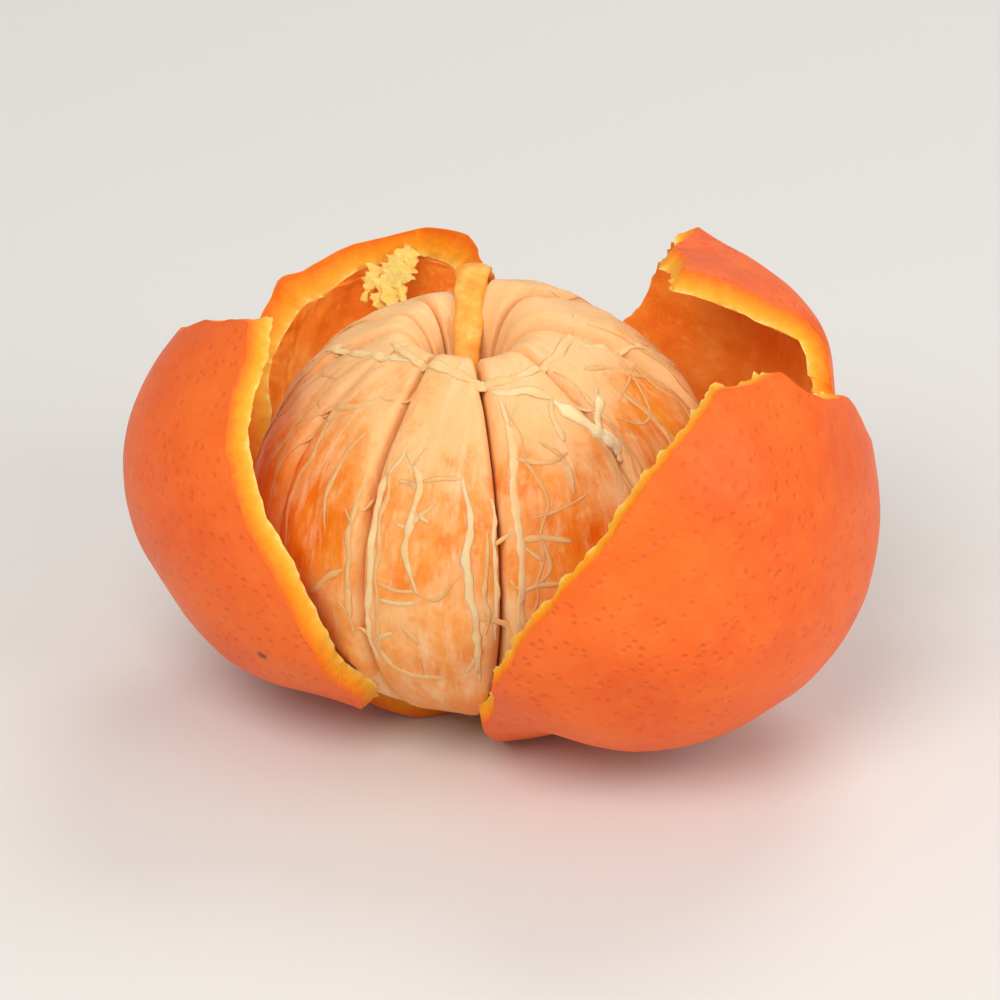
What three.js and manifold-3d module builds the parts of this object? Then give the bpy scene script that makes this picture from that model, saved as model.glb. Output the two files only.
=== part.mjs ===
// A half-peeled mandarin: ten segments in a ball, standing in a peel torn into four flaps that are
// all joined at the base. Millimetres, +Z up, the front is -Y, the origin is the middle of the flat
// spot that the fruit rests on.
// A longitude is 0 at the front and runs towards +X. A height angle is 0 at the bottom pole of the
// fruit and 180 at its stem end.
import * as THREE from "three";
import Module from "manifold-3d";

const wasm = await Module();
wasm.setup();

const group = new THREE.Group();
const rad = THREE.MathUtils.degToRad;

// ---- Whole fruit ----
const fruitWide = 63.6;
const fruitTall = 54;
const flatSpotSink = 1.5;
const fruitMid = fruitTall / 2 - flatSpotSink;
const ballLift = 0.6;
const peelThick = 2.6;
const peelClear = 0.9;
const pieceGap = 0.34;

// ---- Ball of segments ----
const ballWide = fruitWide - 2 * (peelThick + peelClear);
const ballTall = fruitTall - 2 * peelThick - 0.2;
const ballFloor = peelThick + pieceGap;
const coreShift = -2.8;
const coreRadius = 3.2;
const crestRadius = 9.5;
const coreDrop = 11;

const segmentMaterial = new THREE.MeshStandardMaterial({
  color: 0xf2a45c,
  roughness: 0.5,
  metalness: 0,
});
const peelMaterial = new THREE.MeshStandardMaterial({
  color: 0xf0702a,
  roughness: 0.5,
  metalness: 0,
});
const pithMaterial = new THREE.MeshStandardMaterial({
  color: 0xf8e2b4,
  roughness: 0.8,
  metalness: 0,
});

function addPiece(name, geometry, material) {
  geometry.computeVertexNormals();
  const mesh = new THREE.Mesh(geometry, material);
  mesh.name = name;
  group.add(mesh);
}

function closedMesh(points, triangles) {
  const geometry = new THREE.BufferGeometry();
  const places = points.flatMap((p) => [p.x, p.y, p.z]);
  geometry.setAttribute("position", new THREE.Float32BufferAttribute(places, 3));
  geometry.setIndex(triangles);
  return geometry;
}

function smooth(t) {
  return THREE.MathUtils.smoothstep(t, 0, 1);
}

// ---- Peel ----
// Each flap is a patch of the fruit's skin between two torn edges. An edge is a smooth line through
// [longitude, height angle]. The flap then leans out over a hinge near the base and bends again
// half way up and near its tip; lean points to its side of the fruit. The left flap's front edge
// runs on under the ball: footTo is its longitude where it meets the middle of the foot.
const hingeAngle = 30;
const hingeSpan = 28;
const hingeHeight = 1;
const notchAngle = 7;
const flatEdgeAngle = THREE.MathUtils.radToDeg(Math.acos((2 * fruitMid) / fruitTall));
const baseAngles = [notchAngle, 13, flatEdgeAngle, 24, hingeAngle];
const flapRows = 16;

const flaps = [
  {
    lean: -110,
    open: 24,
    middle: 11,
    tip: -6,
    tipAt: 130,
    hingeOut: 12,
    columns: 12,
    from: [[-118, 30], [-116, 90], [-112, 150]],
    to: [[-67, 30], [-36, 48], [-28, 80], [-22, 120], [-12, 156]],
    footTo: -40,
    rimArch: 5,
    rimPeak: 0.6,
  },
  {
    lean: 64,
    open: 33,
    middle: 5,
    tip: 6,
    tipAt: 130,
    hingeOut: 15.5,
    columns: 14,
    from: [[4, 30], [-6, 44], [-15, 70], [-18, 106], [-20, 133], [-26, 160]],
    to: [[112, 30], [106, 90], [104, 152]],
    rimArch: 17,
    rimPeak: 0.45,
  },
  {
    lean: 104,
    open: 8,
    middle: 31,
    tip: -34,
    tipAt: 143,
    hingeOut: 14.5,
    columns: 11,
    from: [[112, 30], [91, 85], [78, 131]],
    to: [[165, 30], [161, 85], [171, 159]],
    rimArch: 33,
    rimPeak: 0.22,
  },
  {
    lean: -162,
    open: 18,
    middle: 27,
    tip: -28,
    tipAt: 137,
    hingeOut: 12.5,
    columns: 11,
    from: [[-195, 30], [-194, 85], [-193, 138]],
    to: [[-118, 30], [-118, 85], [-128, 130]],
    rimArch: 9,
    rimPeak: 0.24,
  },
];

function skinPoint(longitude, angle, depth) {
  const out = (fruitWide / 2 - depth) * Math.sin(rad(angle));
  const up = fruitMid - (fruitTall / 2 - depth) * Math.cos(rad(angle));
  return new THREE.Vector3(out * Math.sin(rad(longitude)), -out * Math.cos(rad(longitude)), up);
}

function turnOut(point, side, pivot, degrees) {
  const axis = new THREE.Vector3(-side.y, side.x, 0);
  return point.sub(pivot).applyAxisAngle(axis, rad(degrees)).add(pivot);
}

function flapPoint(flap, longitude, angle, depth) {
  const side = new THREE.Vector3(Math.sin(rad(flap.lean)), -Math.cos(rad(flap.lean)), 0);
  const point = skinPoint(longitude, angle, depth);
  const tipPivot = skinPoint(flap.lean, flap.tipAt, 0);
  const middlePivot = skinPoint(flap.lean, 85, 0);
  const hinge = side.clone().multiplyScalar(flap.hingeOut).setZ(hingeHeight);
  turnOut(point, side, tipPivot, flap.tip * smooth((angle - flap.tipAt + 15) / 30));
  turnOut(point, side, middlePivot, flap.middle * smooth((angle - 65) / 40));
  turnOut(point, side, hinge, flap.open * smooth((angle - hingeAngle) / hingeSpan));
  point.z = Math.max(point.z, depth);
  return point;
}

function edgeLine(places) {
  return new THREE.SplineCurve(places.map(([longitude, angle]) => new THREE.Vector2(longitude, angle)));
}

// The rim rises from one torn edge to its peak and falls to the other edge as a smooth bump.
function rimRise(flap, across) {
  const bump = across < flap.rimPeak ? across / flap.rimPeak : (1 - across) / (1 - flap.rimPeak);
  return flap.rimArch * Math.sin((bump * Math.PI) / 2) ** 0.8;
}

function flapPlaces(flap) {
  const left = edgeLine(flap.from);
  const right = edgeLine(flap.to);
  const start = left.getPoint(0).x;
  const end = right.getPoint(0).x;
  const rows = baseAngles.map((angle) => {
    const out = (angle - notchAngle) / (hingeAngle - notchAngle);
    return [start, THREE.MathUtils.lerp(flap.footTo ?? end, end, out), angle, angle, 0];
  });
  for (let row = 1; row <= flapRows; row++) {
    const up = row / flapRows;
    const a = left.getPoint(up);
    const b = right.getPoint(up);
    rows.push([a.x, b.x, a.y, b.y, up ** 2]);
  }
  return rows.map(([lonA, lonB, angleA, angleB, rise]) => {
    const places = [];
    for (let column = 0; column <= flap.columns; column++) {
      const across = column / flap.columns;
      const longitude = THREE.MathUtils.lerp(lonA, lonB, across);
      const angle = THREE.MathUtils.lerp(angleA, angleB, across) + rise * rimRise(flap, across);
      places.push([longitude, angle]);
    }
    return places;
  });
}

// Joins the patches of one face of the peel, and shares the points that fall together.
function peelGeometry() {
  const outer = [];
  const inner = [];
  const known = new Map();
  const faces = [];
  function pointIndex(flap, longitude, angle) {
    const shared = angle <= hingeAngle;
    const turn = ((longitude % 360) + 360) % 360;
    const key = shared ? turn.toFixed(2) + "/" + angle.toFixed(2) : "";
    if (shared && known.has(key)) return known.get(key);
    outer.push(flapPoint(flap, longitude, angle, 0));
    inner.push(flapPoint(flap, longitude, angle, peelThick));
    if (shared) known.set(key, outer.length - 1);
    return outer.length - 1;
  }
  const footRing = [];
  for (const flap of flaps) {
    const grid = flapPlaces(flap).map((row) => row.map(([lon, angle]) => pointIndex(flap, lon, angle)));
    for (let row = 0; row + 1 < grid.length; row++) {
      for (let column = 0; column < flap.columns; column++) {
        const [a, b] = [grid[row][column], grid[row][column + 1]];
        const [d, c] = [grid[row + 1][column], grid[row + 1][column + 1]];
        faces.push([a, b, c], [a, c, d]);
      }
    }
    footRing.push(grid[0]);
  }
  // The round middle of the foot closes the ring of patches, past the open notch at the front.
  const middle = outer.length;
  outer.push(new THREE.Vector3(0, 0, 0));
  inner.push(new THREE.Vector3(0, 0, peelThick));
  const notchFrom = flaps[0].footTo;
  const notchTo = flaps[1].from[0][0];
  const notchSteps = 6;
  const notchRow = [];
  for (let step = 0; step <= notchSteps; step++) {
    const longitude = THREE.MathUtils.lerp(notchFrom, notchTo, step / notchSteps);
    notchRow.push(pointIndex(flaps[0], longitude, notchAngle));
  }
  for (const row of [...footRing, notchRow]) {
    for (let step = 0; step + 1 < row.length; step++) faces.push([middle, row[step + 1], row[step]]);
  }
  return shell(outer, inner, faces);
}

// Closes two matching faces into one thick sheet: walls stand on every open edge.
function shell(outer, inner, faces) {
  const count = outer.length;
  const edges = new Set(faces.flatMap(([a, b, c]) => [a + "," + b, b + "," + c, c + "," + a]));
  const triangles = [];
  for (const [a, b, c] of faces) {
    triangles.push(a, b, c, count + a, count + c, count + b);
    for (const [p, q] of [[a, b], [b, c], [c, a]]) {
      if (edges.has(q + "," + p)) continue;
      triangles.push(q, p, count + p, q, count + p, count + q);
    }
  }
  return closedMesh([...outer, ...inner], triangles);
}

// ---- Segments ----
// Walls between the segments, as longitudes around the core. The last wall and the first stand
// apart, which leaves the one open gap at the back.
const walls = [186, 212, 239, 266, 298, 332, 369, 408, 453, 492, 525];
const crestLifts = [0.4, 0.2, 0, -0.3, 0, 0.3, 0, 0.2, 1.6, 2.2];
const profileSteps = 24;
const widthSteps = 10;
const edgeRound = 0.27;

// The outline of a segment in its own plane: the curved back, the dip to the core, the thin inner edge.
function segmentProfile() {
  const half = ballWide / 2;
  const tall = ballTall / 2;
  const crest = Math.asin(crestRadius / half);
  const back = new THREE.EllipseCurve(0, 0, half, tall, -Math.PI / 2 + crest, Math.PI / 2 - crest);
  const top = back.getPoint(1);
  const foot = back.getPoint(0);
  const outline = new THREE.CurvePath();
  outline.add(back);
  const topBend = new THREE.Vector2(coreRadius + 1, top.y + 0.6);
  const topEnd = new THREE.Vector2(coreRadius, top.y - coreDrop);
  outline.add(new THREE.QuadraticBezierCurve(top, topBend, topEnd));
  const footEnd = new THREE.Vector2(coreRadius, foot.y + coreDrop / 2);
  outline.add(new THREE.LineCurve(topEnd, footEnd));
  const footBend = new THREE.Vector2(coreRadius, foot.y);
  outline.add(new THREE.QuadraticBezierCurve(footEnd, footBend, foot));
  return outline.getSpacedPoints(profileSteps).slice(0, profileSteps);
}

const profile = segmentProfile();
const profileMiddle = new THREE.Vector2(ballWide * 0.27, 0);

// A point at a distance from the core, as if the core stood in the middle of the ball: the real
// core stands off the middle, so the distance is stretched to end on the same round outside.
function aroundCore(longitude, distance, height, inset) {
  const side = new THREE.Vector2(Math.sin(longitude), -Math.cos(longitude));
  const along = coreShift * side.x;
  const reach = -along + Math.sqrt(along ** 2 - coreShift ** 2 + (ballWide / 2) ** 2);
  const stretch = THREE.MathUtils.lerp(1, reach / (ballWide / 2), smooth(distance / crestRadius - 0.4));
  const x = coreShift + side.x * distance * stretch - side.y * inset;
  const y = side.y * distance * stretch + side.x * inset;
  return new THREE.Vector3(x, y, Math.max(fruitMid + ballLift + height, ballFloor));
}

function segmentGeometry(from, to, lift) {
  const centre = rad((from + to) / 2);
  const half = rad((to - from) / 2);
  const points = [];
  const triangles = [];
  function place(across, round, spot) {
    const flat = profileMiddle.clone().lerp(spot, round);
    const raise = lift * smooth(flat.y / (ballTall / 2));
    return aroundCore(centre + half * across, flat.x, flat.y + raise, (-across * pieceGap) / 2);
  }
  points.push(place(-1, 0, profileMiddle));
  for (let step = 1; step < widthSteps; step++) {
    const turn = Math.PI * (step / widthSteps - 0.5);
    const across = Math.sign(Math.sin(turn)) * Math.abs(Math.sin(turn)) ** edgeRound;
    const round = Math.cos(turn) ** edgeRound;
    for (const spot of profile) points.push(place(across, round, spot));
  }
  points.push(place(1, 0, profileMiddle));
  const last = points.length - 1;
  for (let spot = 0; spot < profileSteps; spot++) {
    const next = (spot + 1) % profileSteps;
    triangles.push(0, 1 + spot, 1 + next);
    for (let ring = 0; ring < widthSteps - 2; ring++) {
      const a = 1 + ring * profileSteps + spot;
      const b = 1 + ring * profileSteps + next;
      triangles.push(a, b + profileSteps, b, a, a + profileSteps, b + profileSteps);
    }
    triangles.push(last, last - profileSteps + next, last - profileSteps + spot);
  }
  return closedMesh(points, triangles);
}

// ---- Pith ----
// A point on the ball's round outside: tilt is 0 at the top and 90 at the widest place.
function ballPoint(longitude, tilt, clear) {
  const out = (ballWide / 2) * Math.sin(rad(tilt));
  const up = (ballTall / 2) * Math.cos(rad(tilt));
  const foot = aroundCore(rad(longitude), out, up, 0);
  const normal = new THREE.Vector3(Math.sin(rad(longitude)) * Math.sin(rad(tilt)), 0, 0);
  normal.y = -Math.cos(rad(longitude)) * Math.sin(rad(tilt));
  normal.z = Math.cos(rad(tilt));
  return foot.addScaledVector(normal, clear);
}

const cordSides = 8;

// A closed tube round a line; offset gives the ring's reach from the line at a turn round it.
function tube(line, steps, offset) {
  const points = [];
  const triangles = [];
  for (let step = 0; step <= steps; step++) {
    for (let side = 0; side < cordSides; side++) {
      const turn = (side / cordSides) * 2 * Math.PI;
      points.push(line.getPointAt(step / steps).add(offset(step, turn)));
    }
  }
  const first = points.push(line.getPointAt(0)) - 1;
  const last = points.push(line.getPointAt(1)) - 1;
  for (let side = 0; side < cordSides; side++) {
    const next = (side + 1) % cordSides;
    triangles.push(first, next, side);
    for (let step = 0; step < steps; step++) {
      const a = step * cordSides + side;
      const b = step * cordSides + next;
      triangles.push(a, b, b + cordSides, a, b + cordSides, a + cordSides);
    }
    triangles.push(last, steps * cordSides + side, steps * cordSides + next);
  }
  return closedMesh(points, triangles);
}

function cord(places, radius) {
  const line = new THREE.CatmullRomCurve3(places);
  const steps = Math.max(6, Math.round(line.getLength() / 2.2));
  const frames = line.computeFrenetFrames(steps, false);
  return tube(line, steps, (step, turn) => {
    const taper = step === steps ? 0.6 : 1;
    const reach = frames.normals[step].clone().multiplyScalar(Math.cos(turn) * radius * taper);
    return reach.addScaledVector(frames.binormals[step], Math.sin(turn) * radius * taper);
  });
}

// A flat band along the line, as wide as its widths say on each side of the line.
function band(places, widths, thick, across) {
  const line = new THREE.CatmullRomCurve3(places);
  const steps = Math.round(line.getLength() / 1.6);
  return tube(line, steps, (step, turn) => {
    const share = (step / steps) * (widths.length - 1);
    const from = Math.min(Math.floor(share), widths.length - 2);
    const wide = THREE.MathUtils.lerp(widths[from], widths[from + 1], share - from);
    const up = line.getTangentAt(step / steps).cross(across).normalize();
    return across.clone().multiplyScalar(Math.cos(turn) * wide).addScaledVector(up, Math.sin(turn) * thick);
  });
}

function solid(geometry) {
  const vertProperties = geometry.getAttribute("position").array;
  const triVerts = new Uint32Array(geometry.index.array);
  return new wasm.Manifold(new wasm.Mesh({ numProp: 3, vertProperties, triVerts }));
}

function geometryOf(manifold) {
  const mesh = manifold.getMesh();
  const geometry = new THREE.BufferGeometry();
  geometry.setAttribute("position", new THREE.BufferAttribute(mesh.vertProperties, 3));
  geometry.setIndex(new THREE.BufferAttribute(mesh.triVerts, 1));
  return geometry;
}

// ---- All pieces ----
addPiece("peel", peelGeometry(), peelMaterial);
for (let i = 0; i + 1 < walls.length; i++) {
  const name = "segment_" + String(i + 1).padStart(2, "0");
  addPiece(name, segmentGeometry(walls[i], walls[i + 1], crestLifts[i]), segmentMaterial);
}

// The strings that stay on the ball: a loop round the mouth of the core, one thick ridge towards
// the front and thinner strings that follow the grooves, tied by a few cross strings.
const stringClear = pieceGap + 0.25;
const strings = [
  { radius: 0.8, line: [[-60, 22], [-25, 23], [8, 23], [40, 22], [66, 22], [86, 23]] },
  { radius: 0.9, line: [[8, 23], [20, 32], [34, 44], [46, 56], [50, 66]] },
  { radius: 0.45, line: [[8, 23], [9, 40], [9, 62], [9, 84], [8, 104]] },
  { radius: 0.45, line: [[-25, 23], [-28, 45], [-29, 66], [-30, 88], [-28, 104]] },
  { radius: 0.45, line: [[-20, 23], [-16, 48], [-12, 70], [-14, 92]] },
  { radius: 0.45, line: [[9, 74], [24, 72], [40, 74]] },
  { radius: 0.45, line: [[-60, 22], [-64, 40], [-58, 58]] },
  { radius: 0.45, line: [[75, 22], [80, 38], [86, 52]] },
];
const cords = strings.map(({ radius, line }) => {
  const clear = stringClear + radius;
  return solid(cord(line.map(([longitude, tilt]) => ballPoint(longitude, tilt, clear)), radius));
});
const web = cords.reduce((sum, next) => sum.add(next));
addPiece("pith_web", geometryOf(web), pithMaterial);

// The soft flat strap of pith that lies over the open gap at the back and dips into the core.
const strapThick = 0.75;
const strapWidths = [1.3, 2, 2, 1.5, 1.4, 1.3, 1.2];
const strapLongitude = 176.2;
const strapAcross = new THREE.Vector3(-Math.cos(rad(strapLongitude)), -Math.sin(rad(strapLongitude)), 0);
const strap = [[58, -0.5], [44, 0.3], [31, 1.4], [20, 2.4]].map(([tilt, clear]) => {
  return ballPoint(strapLongitude, tilt, clear);
});
strap.push(new THREE.Vector3(coreShift + 0.1, 1.6, fruitMid + 19.6));
strap.push(new THREE.Vector3(coreShift, 0.4, fruitMid + 13));
strap.push(new THREE.Vector3(coreShift, 0, fruitMid + 6));
addPiece("pith_strap", band(strap, strapWidths, strapThick, strapAcross), pithMaterial);

export default group;
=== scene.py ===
import math
import random

import bmesh
import bpy
import numpy as np
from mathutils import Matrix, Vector, noise
from mathutils.bvhtree import BVHTree


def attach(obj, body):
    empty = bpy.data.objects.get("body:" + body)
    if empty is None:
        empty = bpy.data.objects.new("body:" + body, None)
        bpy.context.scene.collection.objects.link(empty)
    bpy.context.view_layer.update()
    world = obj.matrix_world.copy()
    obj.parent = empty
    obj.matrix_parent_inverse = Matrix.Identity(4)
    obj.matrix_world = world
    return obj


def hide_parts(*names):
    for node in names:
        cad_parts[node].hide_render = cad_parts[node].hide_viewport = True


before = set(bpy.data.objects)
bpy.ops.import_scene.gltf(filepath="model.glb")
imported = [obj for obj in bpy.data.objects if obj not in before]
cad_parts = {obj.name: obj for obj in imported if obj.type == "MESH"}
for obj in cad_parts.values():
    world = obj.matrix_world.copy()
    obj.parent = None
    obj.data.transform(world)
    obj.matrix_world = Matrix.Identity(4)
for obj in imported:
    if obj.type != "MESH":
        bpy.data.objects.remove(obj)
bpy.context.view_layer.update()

# ---- Table, light and camera ----
# A plain pale table under a soft studio light from the upper left, with a paler fill from the right.
# The camera looks at the widest gap between the flaps, from a little above.
bpy.ops.object.select_all(action="DESELECT")
bpy.ops.mesh.primitive_plane_add(size=3, location=(0, 0, -0.0002))
table = bpy.context.object
table.name = "table"


def new_paint(name):
    """A new material and its main shader."""
    paint = bpy.data.materials.new(name)
    paint.use_nodes = True
    return paint, paint.node_tree.nodes["Principled BSDF"]


table_paint, table_shader = new_paint("pale_table")
table_shader.inputs["Base Color"].default_value = (0.74, 0.73, 0.71, 1)
table_shader.inputs["Roughness"].default_value = 0.7
table.data.materials.append(table_paint)

sky = bpy.data.worlds.new("studio")
sky.use_nodes = True
sky.node_tree.nodes["Background"].inputs["Color"].default_value = (1.0, 0.98, 0.95, 1)
sky.node_tree.nodes["Background"].inputs["Strength"].default_value = 0.42
bpy.context.scene.world = sky
bpy.context.scene.view_settings.view_transform = "Standard"

fruit_middle = Vector((0.0012, 0.003, 0.0248))


def add_lamp(name, place, size, power, tint):
    bpy.ops.object.light_add(type="AREA", location=place)
    lamp = bpy.context.object
    lamp.name = name
    lamp.data.shape = "DISK"
    lamp.data.size = size
    lamp.data.energy = power
    lamp.data.color = tint
    lamp.rotation_euler = (fruit_middle - lamp.location).to_track_quat("-Z", "Y").to_euler()


add_lamp("key_lamp", (-0.2, -0.5, 0.62), 0.5, 3.8, (1.0, 0.98, 0.95))
add_lamp("fill_lamp", (0.55, -0.35, 0.35), 0.5, 1.9, (1.0, 0.97, 0.93))
add_lamp("back_lamp", (0.2, 0.5, 0.6), 0.4, 1.6, (1.0, 0.98, 0.96))

camera_height = math.radians(27)
camera_far = 0.9
seen_width = 0.120
camera_data = bpy.data.cameras.new("camera")
camera = bpy.data.objects.new("camera", camera_data)
bpy.context.scene.collection.objects.link(camera)
camera_back = Vector((0, -math.cos(camera_height), math.sin(camera_height)))
camera.location = fruit_middle + camera_back * camera_far
camera.rotation_euler = (-camera_back).to_track_quat("-Z", "Y").to_euler()
camera_data.sensor_width = 36
camera_data.lens = camera_data.sensor_width * camera_far / seen_width
camera_data.clip_start = 0.01
bpy.context.scene.camera = camera

# ---- Peel ----
# The thick, leathery rind, torn from the stem end into four flaps that are all joined at the foot.
# Each flap is a grid laid on the skin of the whole fruit between two torn edges, then leaned out.
FRUIT_WIDE = 0.0636
FRUIT_TALL = 0.054
FRUIT_MID = FRUIT_TALL / 2 - 0.0015
PEEL_THICK = 0.0026
HINGE_ANGLE = 30
HINGE_SPAN = 28
HINGE_HEIGHT = 0.001
NOTCH_ANGLE = 7

FLAPS = {
    "left": dict(
        lean=-110, open=24, middle=11, tip=-6, tip_at=130, hinge_out=0.012,
        edge_a=[(-118, 30), (-116, 90), (-112, 150)],
        edge_b=[(-67, 30), (-36, 48), (-28, 80), (-22, 120), (-12, 156)],
        foot_b=-40, rim_arch=5, rim_peak=0.6, columns=58, slant=0.0018,
    ),
    "right": dict(
        lean=64, open=33, middle=5, tip=6, tip_at=130, hinge_out=0.0155,
        edge_a=[(4, 30), (-6, 44), (-15, 70), (-18, 106), (-20, 133), (-26, 160)],
        edge_b=[(112, 30), (106, 90), (104, 152)],
        rim_arch=17, rim_peak=0.45, columns=96, slant=0.001,
    ),
    "back_right": dict(
        lean=104, open=8, middle=31, tip=-34, tip_at=143, hinge_out=0.0145,
        edge_a=[(112, 30), (91, 85), (78, 131)],
        edge_b=[(165, 30), (161, 85), (171, 159)],
        rim_arch=33, rim_peak=0.22, columns=66, slant=0.0018,
    ),
    "back_left": dict(
        lean=-162, open=18, middle=27, tip=-28, tip_at=137, hinge_out=0.0125,
        edge_a=[(-195, 30), (-194, 85), (-193, 138)],
        edge_b=[(-118, 30), (-118, 85), (-128, 130)],
        rim_arch=9, rim_peak=0.24, columns=66, slant=-0.0032,
    ),
}
# Shreds of pith on the rim of the back left flap: the points of each one's line, and its half widths.
SHREDS = [
    (
        [(-0.0095, 0.0417, 0.0399), (-0.0108, 0.04, 0.0388), (-0.0125, 0.0372, 0.0371),
         (-0.0141, 0.0345, 0.0352)],
        [0.0014, 0.0019, 0.0017, 0.0004],
    ),
    (
        [(-0.0112, 0.0404, 0.0388), (-0.0118, 0.0378, 0.0375), (-0.0121, 0.035, 0.0362),
         (-0.0117, 0.0322, 0.0349)],
        [0.0012, 0.0016, 0.001, 0.0003],
    ),
    (
        [(-0.014, 0.0402, 0.0382), (-0.0147, 0.0382, 0.0371), (-0.0158, 0.036, 0.0354)],
        [0.001, 0.0009, 0.0003],
    ),
    (
        [(-0.0119, 0.0372, 0.0374), (-0.0109, 0.0354, 0.0368), (-0.0107, 0.0338, 0.0358)],
        [0.0008, 0.0006, 0.0002],
    ),
]
SHRED_FACING = Vector((0, -0.6, 0.8))
SHRED_UP = Vector((0.1, -0.6, 0.8))
PEEL_ROWS = 140
FLAP_LONG = 0.085
TEAR_REACH = 0.006
FOOT_ROWS = 24
FOOT_SHARE = FOOT_ROWS / PEEL_ROWS
FAN_ROWS = 6
EDGE_WANDER = 0.0022
RIM_WANDER = 0.003


def smooth(t):
    """A soft step from 0 to 1."""
    t = np.clip(t, 0, 1)
    return t * t * (3 - 2 * t)


def edge_line(points, t):
    """Catmull-Rom line through the points; t is an array from 0 to 1."""
    pts = np.array(points, float)
    last = len(pts) - 1
    place = t * last
    i = np.minimum(np.floor(place).astype(int), last - 1)
    w = (place - i)[:, None]
    p0, p1, p2, p3 = (pts[np.clip(i + k, 0, last)] for k in (-1, 0, 1, 2))
    m1, m2 = (p2 - p0) / 2, (p3 - p1) / 2
    cubic = (2 * p1 - 2 * p2 + m1 + m2) * w**3 + (3 * p2 - 3 * p1 - 2 * m1 - m2) * w**2
    return cubic + m1 * w + p1


def skin_place(lon, angle, depth):
    """A place in the rind of the whole, closed fruit."""
    lon, angle = np.radians(lon), np.radians(angle)
    out = (FRUIT_WIDE / 2 - depth) * np.sin(angle)
    up = FRUIT_MID - (FRUIT_TALL / 2 - depth) * np.cos(angle)
    return np.stack([out * np.sin(lon), -out * np.cos(lon), up], -1)


def turn_out(points, side, pivot, degrees):
    """Turns points outwards, towards side, about a level line through the pivot."""
    turn = np.radians(degrees)
    v = points - pivot
    out, up = v @ side, v[:, 2]
    out_new = out * np.cos(turn) + up * np.sin(turn)
    up_new = up * np.cos(turn) - out * np.sin(turn)
    v = v + np.outer(out_new - out, side)
    v[:, 2] = up_new
    return pivot + v


def flap_place(flap, lon, angle, depth):
    """A place in the rind of an opened flap."""
    lean = math.radians(flap["lean"])
    side = np.array([math.sin(lean), -math.cos(lean), 0.0])
    points = skin_place(lon, angle, depth)
    tip_pivot = skin_place(flap["lean"], flap["tip_at"], 0)
    middle_pivot = skin_place(flap["lean"], 85, 0)
    hinge = side * flap["hinge_out"] + np.array([0, 0, HINGE_HEIGHT])
    tip_turn = flap["tip"] * smooth((angle - flap["tip_at"] + 15) / 30)
    points = turn_out(points, side, tip_pivot, tip_turn)
    points = turn_out(points, side, middle_pivot, flap["middle"] * smooth((angle - 65) / 40))
    points = turn_out(points, side, hinge, flap["open"] * smooth((angle - HINGE_ANGLE) / HINGE_SPAN))
    points[:, 2] = np.maximum(points[:, 2], np.maximum(depth, 0))
    return points


def smooth_path(points, spacing):
    """Evenly spaced points on a soft line through the given ones."""
    pts = np.array([tuple(p) for p in points])
    dense = edge_line(pts, np.linspace(0, 1, 40 * len(pts)))
    far = np.concatenate([[0], np.cumsum(np.linalg.norm(np.diff(dense, axis=0), axis=1))])
    count = max(3, int(far[-1] / spacing) + 1)
    even = np.linspace(0, far[-1], count)
    return [Vector([np.interp(e, far, dense[:, k]) for k in range(3)]) for e in even]


def cord(path, widths, heights, ups, sides, target):
    """Adds a flat, tapering cord along the path to the bmesh target."""
    rings = []
    for i, point in enumerate(path):
        ahead = (path[min(i + 1, len(path) - 1)] - path[max(i - 1, 0)]).normalized()
        up = (ups[i] - ahead * ups[i].dot(ahead)).normalized()
        side = ahead.cross(up)
        ring = []
        for k in range(sides):
            turn = 2 * math.pi * k / sides
            place = point + side * math.cos(turn) * widths[i] + up * math.sin(turn) * heights[i]
            ring.append(target.verts.new(place))
        rings.append(ring)
    for a, b in zip(rings, rings[1:]):
        for k in range(sides):
            target.faces.new((a[k], b[k], b[(k + 1) % sides], a[(k + 1) % sides]))
    target.faces.new(rings[0])
    target.faces.new(list(reversed(rings[-1])))


def read_places(piece, what="co"):
    """The points of a mesh, or their normals, as rows of x, y and z."""
    flat = np.empty(len(piece.data.vertices) * 3)
    piece.data.vertices.foreach_get(what, flat)
    return flat.reshape(-1, 3)


def grid_shares(piece):
    """Across and up of each grid point, both from 0 to 1."""
    places = read_places(piece)
    return places[:, 0] + 0.5, places[:, 1] + 0.5


def set_places(piece, points):
    piece.data.vertices.foreach_set("co", np.ascontiguousarray(points, float).ravel())
    piece.data.update()


def wobble(lon, angle, pitch, size, seed):
    """Soft noise along the closed fruit's skin: waves of this pitch, up to about this size."""
    rest = skin_place(lon, angle, 0) / pitch
    return np.array([noise.noise(Vector(p) + Vector((seed, 0, seed))) for p in rest]) * 1.8 * size


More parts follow.
